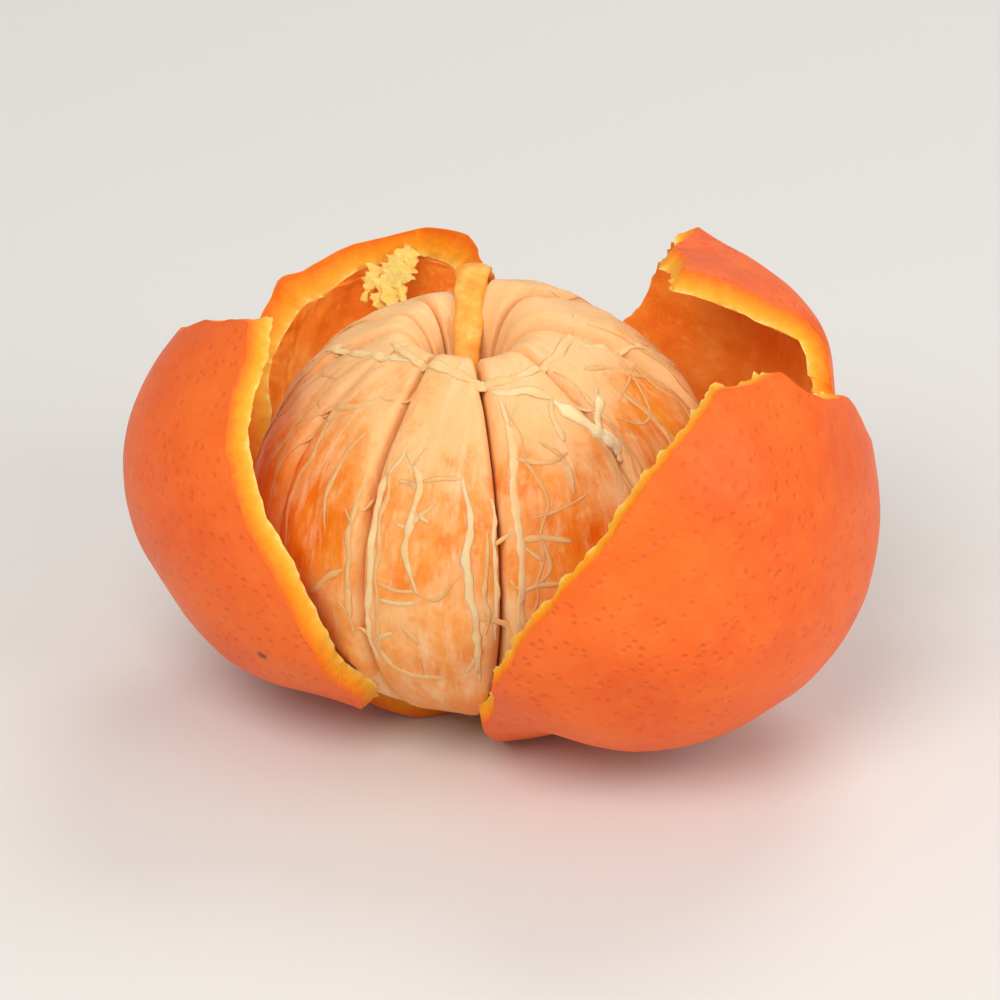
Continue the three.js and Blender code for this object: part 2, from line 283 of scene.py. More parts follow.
def flap_lines(flap, across, up):
    """Longitude and height angle of every grid point on the skin, and on the lining under it."""
    foot = up <= FOOT_SHARE + 1e-6
    t = np.clip((up - FOOT_SHARE) / (1 - FOOT_SHARE), 0, 1)
    a = edge_line(flap["edge_a"], t)
    b = edge_line(flap["edge_b"], t)
    foot_out = np.clip((HINGE_ANGLE * up / FOOT_SHARE - NOTCH_ANGLE) / (HINGE_ANGLE - NOTCH_ANGLE), 0, 1)
    foot_b = flap.get("foot_b", b[0, 0])
    b[:, 0] = np.where(foot, foot_b + (b[:, 0] - foot_b) * foot_out, b[:, 0])
    peak = flap["rim_peak"]
    bump = np.where(across < peak, across / peak, (1 - across) / (1 - peak))
    rise = flap["rim_arch"] * np.sin(np.clip(bump, 0, 1) * math.pi / 2) ** 0.8
    lon = a[:, 0] + (b[:, 0] - a[:, 0]) * across
    angle = a[:, 1] + (b[:, 1] - a[:, 1]) * across + t**2 * rise
    angle = np.where(foot, HINGE_ANGLE * up / FOOT_SHARE, angle)
    # The tear wanders a little: most at the edge itself, and not at all where flaps are still joined.
    reach = np.maximum(FRUIT_WIDE / 2 * np.sin(np.radians(angle)), 0.004)
    width = np.radians(np.abs(b[:, 0] - a[:, 0])) * reach
    torn = smooth((angle - HINGE_ANGLE - 1) / 9)
    far_a, far_b, far_rim = across * width, (1 - across) * width, (1 - up) * FLAP_LONG
    slow = wobble(lon, angle, 0.006, 0.0006, 3.1)
    fast = wobble(lon, angle, 0.0019, 0.0002, 7.7)
    near = np.exp(-((far_a / EDGE_WANDER) ** 2)) + np.exp(-((far_b / EDGE_WANDER) ** 2))
    near_rim = np.exp(-((far_rim / RIM_WANDER) ** 2))
    lon = lon + np.degrees((slow + fast) / reach) * torn * near
    angle = angle + np.degrees((slow * 1.3 + fast) / (FRUIT_WIDE / 2)) * near_rim
    # The tear runs at a slant through the rind, so the lining ends further out or further in.
    slant = flap["slant"] * torn
    sideways = np.exp(-((far_b / TEAR_REACH) ** 2)) - np.exp(-((far_a / TEAR_REACH) ** 2))
    upwards = np.exp(-((far_rim / TEAR_REACH) ** 2))
    lining_lon = lon + np.degrees(slant / reach) * sideways
    lining_angle = angle + np.degrees(slant / (FRUIT_WIDE / 2)) * upwards
    return lon, angle, lining_lon, lining_angle


def lay_flap(part, flap, lines):
    """Puts the grid on the skin, and keeps the place of the lining under each of its points."""
    lon, angle, lining_lon, lining_angle = lines
    free = smooth((angle - 24) / 14)
    swell = wobble(lon, angle, 0.013, 0.00022, 11.3) + wobble(lon, angle, 0.005, 0.00008, 5.9)
    set_places(part, flap_place(flap, lon, angle, (0.0002 - swell) * free))
    felt = wobble(lon, angle, 0.004, 0.00016, 21.7) + wobble(lon, angle, 0.0016, 0.0001, 2.9)
    inside = flap_place(flap, lining_lon, lining_angle, PEEL_THICK - felt * free)
    mark = part.data.attributes.new("inside", "FLOAT_VECTOR", "POINT")
    mark.data.foreach_set("vector", inside.ravel())


peel_parts = []
for flap_name, flap in FLAPS.items():
    bpy.ops.object.select_all(action="DESELECT")
    bpy.ops.mesh.primitive_grid_add(x_subdivisions=flap["columns"], y_subdivisions=PEEL_ROWS, size=1)
    part = bpy.context.object
    across, up = grid_shares(part)
    lay_flap(part, flap, flap_lines(flap, across, up))
    peel_parts.append(part)

# The small fan of rind in front, under the ball, closes the foot between the left and right flap.
bpy.ops.mesh.primitive_grid_add(x_subdivisions=30, y_subdivisions=FAN_ROWS, size=1)
foot_fan = bpy.context.object
across, up = grid_shares(foot_fan)
left_foot, right_foot = FLAPS["left"]["foot_b"], FLAPS["right"]["edge_a"][0][0]
fan_lon = left_foot + (right_foot - left_foot) * across
fan_angle = HINGE_ANGLE / FOOT_ROWS * FAN_ROWS * up
lay_flap(foot_fan, FLAPS["left"], (fan_lon, fan_angle, fan_lon, fan_angle))
peel_parts.append(foot_fan)

bpy.ops.object.select_all(action="DESELECT")
for part in peel_parts:
    part.select_set(True)
bpy.context.view_layer.objects.active = peel_parts[0]
bpy.ops.object.join()
peel = bpy.context.object
peel.name = "torn_peel"
bpy.ops.object.mode_set(mode="EDIT")
bpy.ops.mesh.select_all(action="SELECT")
bpy.ops.mesh.remove_doubles(threshold=0.00004)
bpy.ops.mesh.dissolve_degenerate(threshold=0.00001)
bpy.ops.mesh.normals_make_consistent(inside=False)
bpy.ops.object.mode_set(mode="OBJECT")

# The sheet may still face inwards as a whole: its foot has to look down at the table.
foot_face = min(peel.data.polygons, key=lambda f: f.center.length)
if foot_face.normal.z > 0:
    peel.data.flip_normals()
skin_count = len(peel.data.vertices)

LINING_FACES = 1
TEAR_FACES = 2
rind = peel.modifiers.new("rind", "SOLIDIFY")
rind.thickness = PEEL_THICK
rind.offset = -1
rind.use_even_offset = True
rind.thickness_clamp = 0
rind.material_offset = LINING_FACES
rind.material_offset_rim = TEAR_FACES
skin, skin_shader = new_paint("peel_skin")
lining, lining_shader = new_paint("peel_lining")
tear, tear_shader = new_paint("peel_tear")
for paint in (skin, lining, tear):
    peel.data.materials.append(paint)
bpy.context.view_layer.objects.active = peel
bpy.ops.object.modifier_apply(modifier="rind")

# The sheet's copy becomes the lining: each point goes to the place kept for it.
points = read_places(peel)
inside = np.empty(len(points) * 3)
peel.data.attributes["inside"].data.foreach_get("vector", inside)
points[skin_count:] = inside.reshape(-1, 3)[:skin_count]
set_places(peel, points)
peel.data.attributes.remove(peel.data.attributes["inside"])

# Depth through the rind, 0 on the skin and 1 on the white lining; the torn wall is then divided.
depth_mark = peel.data.attributes.new("depth", "FLOAT", "POINT")
depth_values = np.zeros(len(peel.data.vertices))
depth_values[skin_count:] = 1
depth_mark.data.foreach_set("value", depth_values)
bpy.ops.object.mode_set(mode="EDIT")
bpy.ops.mesh.select_mode(type="EDGE")
bpy.ops.mesh.select_all(action="DESELECT")
bpy.ops.object.mode_set(mode="OBJECT")
for edge in peel.data.edges:
    edge.select = (edge.vertices[0] < skin_count) != (edge.vertices[1] < skin_count)
bpy.ops.object.mode_set(mode="EDIT")
bpy.ops.mesh.subdivide(number_cuts=3, quadcorner="INNERVERT")
bpy.ops.object.mode_set(mode="OBJECT")

peel_mesh = bmesh.new()
peel_mesh.from_mesh(peel.data)
depth_layer = peel_mesh.verts.layers.float["depth"]
# The torn wall is ragged: most at the lining, where the white layer frays, and hardly at the skin.
TATTER_SIZE = 0.0008
CRUMB_SIZE = 0.00012
moves = {}
for vertex in peel_mesh.verts:
    walls = [f for f in vertex.link_faces if f.material_index == TEAR_FACES]
    depth = vertex[depth_layer]
    p = vertex.co
    if walls and depth > 0.01:
        away = sum((f.normal for f in walls), Vector()).normalized()
        tatter = noise.noise(p / 0.0009) + 0.6 * noise.noise(p / 0.0024 + Vector((9, 0, 0)))
        ragged = TATTER_SIZE * tatter * depth**4 + CRUMB_SIZE * noise.noise(p / 0.0007)
        moves[vertex] = away * ragged * smooth((p.z - 0.001) / 0.003)
for vertex, move in moves.items():
    vertex.co += move

# Shreds of pith hang from the rim of the back left flap, thin and crumpled like torn paper.
known = len(peel_mesh.verts)
for path, half_widths in SHREDS:
    line = smooth_path([Vector(place) for place in path], 0.0002)
    spread = np.linspace(0, len(half_widths) - 1, len(line))
    wide = [float(np.interp(x, range(len(half_widths)), half_widths)) for x in spread]
    wide = [w * (1 + 0.9 * noise.noise(place / 0.0006)) for w, place in zip(wide, line)]
    tall = [0.00016 + 0.00012 * abs(noise.noise(place / 0.0008)) for place in line]
    cord(line, wide, tall, [SHRED_UP] * len(line), 20, peel_mesh)
peel_mesh.verts.ensure_lookup_table()
for vertex in peel_mesh.verts[known:]:
    vertex[depth_layer] = 1.1
    creases = 0.0009 * noise.noise(vertex.co / 0.0016) + 0.0004 * noise.noise(vertex.co / 0.0005)
    vertex.co += SHRED_FACING * creases
    crumple = [noise.noise(vertex.co / 0.0007 + Vector((0, 0, 9 * axis))) for axis in range(3)]
    vertex.co += Vector(crumple) * 0.00025
    for face in vertex.link_faces:
        face.material_index = TEAR_FACES
        face.smooth = True
peel_mesh.to_mesh(peel.data)
peel_mesh.free()
bpy.ops.object.select_all(action="DESELECT")
peel.select_set(True)
bpy.context.view_layer.objects.active = peel
bpy.ops.object.shade_smooth_by_angle(angle=math.radians(50))


def add_node(paint, kind, values=None, **settings):
    """One node with its settings; a value is a number or colour, or another node's output."""
    node = paint.node_tree.nodes.new(kind)
    for key, value in settings.items():
        setattr(node, key, value)
    for key, value in (values or {}).items():
        if isinstance(value, bpy.types.NodeSocket):
            paint.node_tree.links.new(value, node.inputs[key])
        else:
            node.inputs[key].default_value = value
    return node


def ramp(paint, factor, stops):
    """A colour ramp with (place, colour) stops."""
    node = add_node(paint, "ShaderNodeValToRGB", {"Fac": factor})
    while len(node.color_ramp.elements) < len(stops):
        node.color_ramp.elements.new(0.5)
    for element, (place, colour) in zip(node.color_ramp.elements, stops):
        element.position = place
        element.color = (*colour, 1)
    return node.outputs["Color"]


def blend(paint, factor, a, b):
    """Colour a turning into colour b as the factor goes from 0 to 1."""
    node = add_node(paint, "ShaderNodeMix", data_type="RGBA")
    for socket, value in ((node.inputs[0], factor), (node.inputs[6], a), (node.inputs[7], b)):
        if isinstance(value, bpy.types.NodeSocket):
            paint.node_tree.links.new(value, socket)
        elif isinstance(value, tuple):
            socket.default_value = (*value, 1)
        else:
            socket.default_value = value
    return node.outputs[2]


def grain(paint, where, size, detail=3.0, rough=0.55):
    """Soft noise whose patches are about the given size in metres."""
    values = {"Vector": where, "Scale": 1 / size, "Detail": detail, "Roughness": rough}
    return add_node(paint, "ShaderNodeTexNoise", values).outputs["Fac"]


def maths(paint, operation, *values):
    return add_node(paint, "ShaderNodeMath", dict(enumerate(values)), operation=operation).outputs[0]


def vector_maths(paint, operation, *values):
    node = add_node(paint, "ShaderNodeVectorMath", dict(enumerate(values)), operation=operation)
    return node.outputs["Value" if operation == "DISTANCE" else "Vector"]


def uneven(paint, where, size, detail, rough=0.55):
    """The same soft noise, about 0."""
    return maths(paint, "SUBTRACT", grain(paint, where, size, detail, rough), 0.5)


def bumps(paint, height, strength, distance, under=None):
    """Bumps of this height, on top of the ones under them."""
    values = {"Height": height, "Strength": strength, "Distance": distance}
    if under is not None:
        values["Normal"] = under
    return add_node(paint, "ShaderNodeBump", values).outputs["Normal"]


def finish_paint(paint, shader, colour, normal, rough, shine, soak, soak_colour, soak_reach=0.002):
    """Colour and bumps, how rough and shiny the surface is, and how far light soaks into it."""
    paint.node_tree.links.new(colour, shader.inputs["Base Color"])
    paint.node_tree.links.new(normal, shader.inputs["Normal"])
    shader.inputs["Roughness"].default_value = rough
    shader.inputs["Specular IOR Level"].default_value = shine
    shader.inputs["Subsurface Weight"].default_value = soak
    shader.inputs["Subsurface Radius"].default_value = soak_colour
    shader.inputs["Subsurface Scale"].default_value = soak_reach


# Brown specks on the skin, and the scar of the flower under the foot: place, size, how dark.
SPECKS = [
    ((-0.0269, -0.0194, 0.0156), 0.0008, 0.85),
    ((0.0296, -0.0345, 0.0347), 0.0005, 0.4),
    ((0.0259, -0.0347, 0.0414), 0.00055, 0.35),
    ((0.0347, -0.0312, 0.0242), 0.0004, 0.4),
    ((0.041, 0.012, 0.03), 0.0006, 0.5),
    ((-0.018, 0.042, 0.022), 0.0006, 0.5),
    ((0.006, -0.034, 0.018), 0.0003, 0.4),
    ((0.0006, 0.0004, 0.0), 0.0013, 0.75),
]

# Skin: waxy orange, redder in places, with small sunken oil glands and a few brown specks.
here = add_node(skin, "ShaderNodeTexCoord").outputs["Object"]
broad = [(0.3, (0.82, 0.098, 0.003)), (0.52, (0.90, 0.128, 0.006)), (0.72, (0.95, 0.165, 0.012))]
colour = ramp(skin, grain(skin, here, 0.016, 2.0), broad)
fine = ramp(skin, grain(skin, here, 0.0022, 4.0), [(0.45, (0, 0, 0)), (0.75, (0.3,) * 3)])
colour = blend(skin, fine, colour, (0.97, 0.22, 0.03))
glands = add_node(skin, "ShaderNodeTexVoronoi", {"Vector": here, "Scale": 760.0, "Randomness": 0.95})
gland_far = glands.outputs["Distance"]
gland_spots = ramp(skin, gland_far, [(0.0, (0.7,) * 3), (0.25, (0, 0, 0))])
colour = blend(skin, gland_spots, colour, (0.84, 0.12, 0.01))
for place, size, dark in SPECKS:
    far = vector_maths(skin, "DISTANCE", here, place)
    edge = maths(skin, "MULTIPLY_ADD", grain(skin, here, 0.0006), size * 1.2, far)
    spot = ramp(skin, maths(skin, "DIVIDE", edge, size * 2), [(0.55, (dark,) * 3), (0.85, (0, 0, 0))])
    colour = blend(skin, spot, colour, (0.16, 0.045, 0.01))
pits = bumps(skin, ramp(skin, gland_far, [(0.0, (0, 0, 0)), (0.34, (1, 1, 1))]), 0.6, 0.0004)
waves = bumps(skin, grain(skin, here, 0.0035, 3.0), 0.25, 0.0006, pits)
finish_paint(skin, skin_shader, colour, waves, 0.5, 0.3, 0.1, (1.0, 0.35, 0.1))
skin_shader.inputs["Coat Weight"].default_value = 0.1
skin_shader.inputs["Coat Roughness"].default_value = 0.3

# Lining: spongy, pale orange with darker damp patches and paler threads.
here = add_node(lining, "ShaderNodeTexCoord").outputs["Object"]
damp = [(0.3, (0.86, 0.19, 0.010)), (0.5, (0.92, 0.26, 0.02)), (0.72, (0.96, 0.38, 0.06))]
colour = ramp(lining, grain(lining, here, 0.006, 5.0, 0.6), damp)
twisted = {"Vector": here, "Scale": 600.0, "Detail": 4.0, "Distortion": 1.6}
threads = add_node(lining, "ShaderNodeTexNoise", twisted).outputs["Fac"]
threads = ramp(lining, threads, [(0.56, (0, 0, 0)), (0.74, (0.6,) * 3)])
colour = blend(lining, threads, colour, (0.96, 0.42, 0.10))
felt = bumps(lining, grain(lining, here, 0.0012, 4.0), 0.5, 0.0004)
finish_paint(lining, lining_shader, colour, felt, 0.75, 0.2, 0.15, (1.0, 0.45, 0.15))

# Torn wall: bright orange under the skin, then yellow, then cream where the white layer frays.
here = add_node(tear, "ShaderNodeTexCoord").outputs["Object"]
depth = add_node(tear, "ShaderNodeAttribute", attribute_name="depth").outputs["Fac"]
depth = maths(tear, "MULTIPLY_ADD", uneven(tear, here, 0.0012, 3.0), 0.5, depth)
layers = [
    (0.05, (0.92, 0.17, 0.004)),
    (0.3, (0.97, 0.27, 0.004)),
    (0.64, (0.98, 0.39, 0.012)),
    (0.9, (0.99, 0.50, 0.05)),
    (1.0, (0.99, 0.66, 0.16)),
]
crumbs = bumps(tear, grain(tear, here, 0.0007, 4.0), 0.5, 0.0003)
finish_paint(tear, tear_shader, ramp(tear, depth, layers), crumbs, 0.6, 0.3, 0.25, (1.0, 0.5, 0.15))

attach(peel, "root")
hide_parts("peel")

# ---- Segments ----
# Ten juicy wedges in a ball round a hollow core, each in its own thin, pale skin. Each one is a
# round primitive drawn out to the wedge's outline; the core stands a little left of the middle.
PEEL_CLEAR = 0.0009
BALL_WIDE = FRUIT_WIDE - 2 * (PEEL_THICK + PEEL_CLEAR)
BALL_TALL = FRUIT_TALL - 2 * PEEL_THICK - 0.0002
BALL_LIFT = 0.0006
BALL_FLOOR = PEEL_THICK + 0.00034
CORE_SHIFT = -0.0028
CORE_RADIUS = 0.0032
CREST_RADIUS = 0.0095
CORE_DROP = 0.011
PIECE_GAP = 0.0001
WALLS = [186, 212, 239, 266, 298, 332, 369, 408, 453, 492, 525]
CREST_LIFTS = [0.0004, 0.0002, 0, -0.0003, 0, 0.0003, 0, 0.0002, 0.0016, 0.0022]
EDGE_ROUND = 0.17


def bent_line(a, b, c, count):
    """Points of a quadratic curve from a to c, pulled towards b."""
    t = np.linspace(0, 1, count)[:, None]
    return (1 - t) ** 2 * np.array(a) + 2 * t * (1 - t) * np.array(b) + t**2 * np.array(c)


def segment_outline(steps):
    """Evenly spaced (distance from core, height) points round a segment."""
    half, tall = BALL_WIDE / 2, BALL_TALL / 2
    crest = math.asin(CREST_RADIUS / half)
    turn = np.linspace(-math.pi / 2 + crest, math.pi / 2 - crest, 200)
    back = np.stack([half * np.cos(turn), tall * np.sin(turn)], -1)
    top, foot = back[-1], back[0]
    down = (CORE_RADIUS, top[1] - CORE_DROP)
    low = (CORE_RADIUS, foot[1] + CORE_DROP / 2)
    dip = bent_line(top, (CORE_RADIUS + 0.001, top[1] + 0.0006), down, 40)
    inner = np.linspace(down, low, 40)
    under = bent_line(low, (CORE_RADIUS, foot[1]), foot, 40)
    line = np.concatenate([back, dip[1:], inner[1:], under[1:]])
    far = np.concatenate([[0], np.cumsum(np.linalg.norm(np.diff(line, axis=0), axis=1))])
    even = np.linspace(0, far[-1], steps, endpoint=False)
    return np.stack([np.interp(even, far, line[:, 0]), np.interp(even, far, line[:, 1])], -1)


def across_and_round(steps):
    """Even steps over a segment's rounded width: how far across, and how much of the outline's size."""
    turn = np.linspace(-math.pi / 2, math.pi / 2, 2001)
    across = np.sign(turn) * np.abs(np.sin(turn)) ** EDGE_ROUND
    size = np.clip(np.cos(turn), 0, 1) ** EDGE_ROUND
    far = np.concatenate([[0], np.cumsum(np.hypot(np.diff(across) * 0.8, np.diff(size)))])
    even = np.linspace(0, far[-1], steps + 1)
    return np.interp(even, far, across), np.interp(even, far, size)


def around_core(lon, distance, height, inset):
    """A place at a distance from the core, stretched so that the ball stays round about its middle."""
    side_x, side_y = np.sin(lon), -np.cos(lon)
    along = CORE_SHIFT * side_x
    reach = -along + np.sqrt(along**2 - CORE_SHIFT**2 + (BALL_WIDE / 2) ** 2)
    share = smooth(distance / CREST_RADIUS - 0.4)
    stretch = 1 + (reach / (BALL_WIDE / 2) - 1) * share
    x = CORE_SHIFT + side_x * distance * stretch - side_y * inset
    y = side_y * distance * stretch + side_x * inset
    return np.stack([x, y, np.maximum(FRUIT_MID + BALL_LIFT + height, BALL_FLOOR)], -1)


OUTLINE_STEPS = 128
WIDTH_STEPS = 40
segment_line = segment_outline(OUTLINE_STEPS)
width_across, width_round = across_and_round(WIDTH_STEPS)
outline_middle = np.array([BALL_WIDE * 0.27, 0.0])

# Juice sacs show through as soft amber cells; the skin over them is a peach veil.
flesh, flesh_shader = new_paint("segment_skin")
here = add_node(flesh, "ShaderNodeTexCoord").outputs["Object"]
veil_and_groove_light = add_node(flesh, "ShaderNodeAttribute", attribute_name="pith").outputs["Fac"]
twist = add_node(flesh, "ShaderNodeTexNoise", {"Vector": here, "Scale": 160.0, "Detail": 2.0})
bend = vector_maths(flesh, "MULTIPLY", twist.outputs["Color"], (0.0022, 0.0022, 0.0022))
bent = vector_maths(flesh, "ADD", here, bend)
sacs = add_node(flesh, "ShaderNodeTexVoronoi", {"Vector": bent, "Scale": 300.0}, feature="SMOOTH_F1")
sacs = sacs.outputs["Distance"]
amber = [(0.1, (0.84, 0.17, 0.004)), (0.45, (0.90, 0.24, 0.010)), (0.75, (0.93, 0.32, 0.030))]
colour = ramp(flesh, sacs, amber)
# How thick the veil of pith is: the listed spots, broken up by soft and by fine noise.
# Near the grooves this value also holds painted light: a paler veil that lifts the shade where the segment
# walls meet.
veil_and_light_amount = maths(flesh, "MULTIPLY_ADD", uneven(flesh, here, 0.0075, 4.0, 0.6), 1.5, veil_and_groove_light)
veil_and_light_amount = maths(flesh, "MULTIPLY_ADD", uneven(flesh, here, 0.0018, 4.0, 0.65), 0.55, veil_and_light_amount)
veil_and_light_mask = ramp(flesh, veil_and_light_amount, [(0.18, (0, 0, 0)), (0.46, (0.72,) * 3), (0.62, (0.9,) * 3)])
colour = blend(flesh, veil_and_light_mask, colour, (0.93, 0.385, 0.098))
white = ramp(flesh, veil_and_light_amount, [(0.50, (0, 0, 0)), (0.72, (0.75,) * 3), (0.95, (1.0,) * 3)])
colour = blend(flesh, white, colour, (0.95, 0.53, 0.22))
streak_where = add_node(flesh, "ShaderNodeMapping", {"Vector": bent, "Scale": (1.0, 1.0, 0.3)}).outputs[0]
streaks = ramp(flesh, grain(flesh, streak_where, 0.0017, 5.0, 0.65), [(0.54, (0, 0, 0)), (0.70, (0.55,) * 3)])
colour = blend(flesh, streaks, colour, (0.96, 0.56, 0.26))
# Fine fibres of pith run from the core down over the flesh.
outward = vector_maths(flesh, "NORMALIZE", vector_maths(flesh, "MULTIPLY", here, (1, 1, 0)))
rising = vector_maths(flesh, "MULTIPLY", here, (90, 90, 90))
lines = grain(flesh, vector_maths(flesh, "MULTIPLY_ADD", outward, (9, 9, 0), rising), 1.0, 6.0, 0.7)
fibres = ramp(flesh, lines, [(0.5, (0, 0, 0)), (0.60, (0.42,) * 3), (0.66, (0.7,) * 3)])
colour = blend(flesh, fibres, colour, (0.96, 0.60, 0.31))
normal = bumps(flesh, sacs, 0.3, 0.0005)
normal = bumps(flesh, grain(flesh, streak_where, 0.0012, 5.0, 0.6), 0.45, 0.0004, normal)
normal = bumps(flesh, lines, 0.35, 0.0005, normal)
finish_paint(flesh, flesh_shader, colour, normal, 0.5, 0.28, 0.2, (1.0, 0.35, 0.08), 0.0025)
gloss = ramp(flesh, grain(flesh, here, 0.003, 3.0), [(0.3, (0.36,) * 3), (0.7, (0.55,) * 3)])
flesh.node_tree.links.new(gloss, flesh_shader.inputs["Roughness"])

# The veil of pith is thick in some spots and gone in others: longitude, tilt, width, strength.
VEIL_SPOTS = [
    (-54, 74, 15, -0.5), (-36, 34, 10, -0.25), (9, 56, 5, -0.6), (62, 56, 13, -0.55), (80, 40, 9, -0.35),
    (27, 77, 8, -0.35), (-5, 70, 8, -0.25), (46, 66, 7, 0.5), (119, 38, 26, 0.4), (-80, 56, 10, 0.35),
    (-20, 48, 12, 0.3), (22, 42, 12, 0.3), (-100, 30, 24, 0.2), (-15, 100, 12, 0.15), (150, 80, 22, -0.4),
    (-140, 70, 24, -0.35), (-95, 95, 16, 0.25), (110, 95, 16, -0.3), (180, 50, 14, 0.3),
]
segments = []
for number in range(len(WALLS) - 1):
    bpy.ops.object.select_all(action="DESELECT")
    bpy.ops.mesh.primitive_uv_sphere_add(segments=OUTLINE_STEPS, ring_count=WIDTH_STEPS, radius=1)
    segment = bpy.context.object
    segment.name = "orange_segment_%02d" % (number + 1)
    centre = math.radians((WALLS[number] + WALLS[number + 1]) / 2)
    half = math.radians((WALLS[number + 1] - WALLS[number]) / 2)
    ball = read_places(segment)
    ring = np.rint((np.arcsin(np.clip(ball[:, 2], -1, 1)) / math.pi + 0.5) * WIDTH_STEPS).astype(int)
    spot = np.rint(np.arctan2(ball[:, 1], ball[:, 0]) / (2 * math.pi) * OUTLINE_STEPS).astype(int)
    spot = spot % OUTLINE_STEPS
    across, size = width_across[ring], width_round[ring]
    flat = outline_middle + size[:, None] * (segment_line[spot] - outline_middle)
    lift = CREST_LIFTS[number] * smooth(flat[:, 1] / (BALL_TALL / 2))
    places = around_core(centre + half * across, flat[:, 0], flat[:, 1] + lift, -across * PIECE_GAP / 2)
    set_places(segment, places)
    segment.data.flip_normals()
    # Uneven flesh: slow swellings, then finer dimples where the sacs press on the skin.
    normals = read_places(segment, "normal")
    shift = np.zeros(len(places))
    for i, p in enumerate(places):
        v = Vector(p) + Vector((number * 0.05, 0, 0))
        shift[i] = noise.noise(v / 0.006) * 0.00045 + noise.noise(v / 0.0024) * 0.00016
    outer = smooth((np.hypot(places[:, 0] - CORE_SHIFT, places[:, 1]) - 0.004) / 0.006)
    free = outer * (0.15 + 0.85 * (1 - np.abs(across) ** 6)) * smooth((places[:, 2] - BALL_FLOOR) / 0.003)
    set_places(segment, places + normals * (np.minimum(shift, 0.00035) * free)[:, None])
    mark = segment.data.attributes.new("pith", "FLOAT", "POINT")
    tilt = np.degrees(np.arctan2(np.hypot(places[:, 0], places[:, 1]), places[:, 2] - FRUIT_MID))
    near_top = 1 - smooth((tilt - 24) / 40)
    around = np.degrees(np.arctan2(places[:, 0], -places[:, 1]))
    spots = np.zeros(len(places))
    for spot_lon, spot_tilt, spot_wide, strength in VEIL_SPOTS:
        turn = (around - spot_lon + 180) % 360 - 180
        away = np.hypot(turn * np.sin(np.radians(tilt)), tilt - spot_tilt) / spot_wide
        spots += strength * np.exp(-(away**2))
    # Painted light: the value rises towards each segment's side edges, so the veil is paler in the grooves,
    # where the walls shade each other.
    groove_painted_light = np.abs(across) ** 6 * 0.45
    mark.data.foreach_set("value", np.clip(0.42 + 0.45 * near_top + groove_painted_light + spots, 0, 1))
    segment.data.materials.append(flesh)
    bpy.ops.object.shade_smooth()
    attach(segment, "root")
    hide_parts("segment_%02d" % (number + 1))
    segments.append(segment)

# ---- Strap ----
# The soft yellow strap of pith in the open gap at the back, which runs down into the core.
def ball_place(lon, tilt, clear):
    """A point over the ball's round outside: tilt is 0 at the top and 90 at the widest place."""
    lon, tilt = np.radians(lon), np.radians(tilt)
    foot = around_core(lon, BALL_WIDE / 2 * np.sin(tilt), BALL_TALL / 2 * np.cos(tilt), 0)
    away = np.stack([np.sin(lon) * np.sin(tilt), -np.cos(lon) * np.sin(tilt), np.cos(tilt)], -1)
    return foot + away * clear


STRAP_LONGITUDE = 176.2
strap_turns = [(58, -0.0005), (44, 0.0003), (31, 0.0014), (20, 0.0024)]
strap_points = [Vector(ball_place(STRAP_LONGITUDE, tilt, clear)) for tilt, clear in strap_turns]
strap_points.append(Vector((CORE_SHIFT + 0.0001, 0.0016, FRUIT_MID + 0.0196)))
strap_points.append(Vector((CORE_SHIFT, 0.0004, FRUIT_MID + 0.013)))
strap_points.append(Vector((CORE_SHIFT, 0, FRUIT_MID + 0.006)))
strap_widths = [0.0013, 0.0022, 0.0023, 0.0019, 0.0016, 0.0014, 0.0011]
STRAP_THICK = 0.00075
strap_line = smooth_path(strap_points, 0.0004)
strap_mesh = bmesh.new()
count = len(strap_line)
widths, heights = [], []
for i, p in enumerate(strap_line):
    share = i / (count - 1) * (len(strap_widths) - 1)
    wide = float(np.interp(share, range(len(strap_widths)), strap_widths))
    widths.append(wide * (1 + 0.16 * noise.noise(p / 0.0022)))
    heights.append(STRAP_THICK * (1 + 0.3 * noise.noise(p / 0.0016 + Vector((5, 0, 0)))))
outward = []
for i, p in enumerate(strap_line):
    ahead = strap_line[min(i + 1, count - 1)] - strap_line[max(i - 1, 0)]
    outward.append(ahead.cross(Vector((1, 0.08, 0))).normalized())
cord(strap_line, widths, heights, outward, 24, strap_mesh)
for vertex in strap_mesh.verts:
    vertex.co += Vector((1, 0, 1)).normalized() * 0.0002 * noise.noise(vertex.co / 0.0009)


def soft_object(name, made, paint):
    """A smooth object with one material, from a bmesh."""
    bmesh.ops.recalc_face_normals(made, faces=made.faces)
    data = bpy.data.meshes.new(name)
    made.to_mesh(data)
    made.free()
    data.materials.append(paint)
    for face in data.polygons:
        face.use_smooth = True
    piece = bpy.data.objects.new(name, data)
    bpy.context.scene.collection.objects.link(piece)
    return piece


strap_paint, strap_shader = new_paint("strap_pith")
here = add_node(strap_paint, "ShaderNodeTexCoord").outputs["Object"]
tones = [(0.3, (0.92, 0.30, 0.02)), (0.55, (0.95, 0.43, 0.05)), (0.75, (0.97, 0.62, 0.20))]
colour = ramp(strap_paint, grain(strap_paint, here, 0.0022, 4.0), tones)
normal = bumps(strap_paint, grain(strap_paint, here, 0.0008, 4.0), 0.5, 0.0003)
finish_paint(strap_paint, strap_shader, colour, normal, 0.55, 0.5, 0.3, (1.0, 0.5, 0.15))
strap = soft_object("pith_strap_soft", strap_mesh, strap_paint)
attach(strap, "root")
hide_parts("pith_strap")

# ---- Strings of pith ----
# White strings that cling to the ball: two bright ridges and many thin veins that follow the
# grooves, fork and cross over the segments. All are one connected net that starts at the core.
bark = bmesh.new()
for segment in segments:
    bark.from_mesh(segment.data)
ball_tree = BVHTree.FromBMesh(bark)
bark.free()


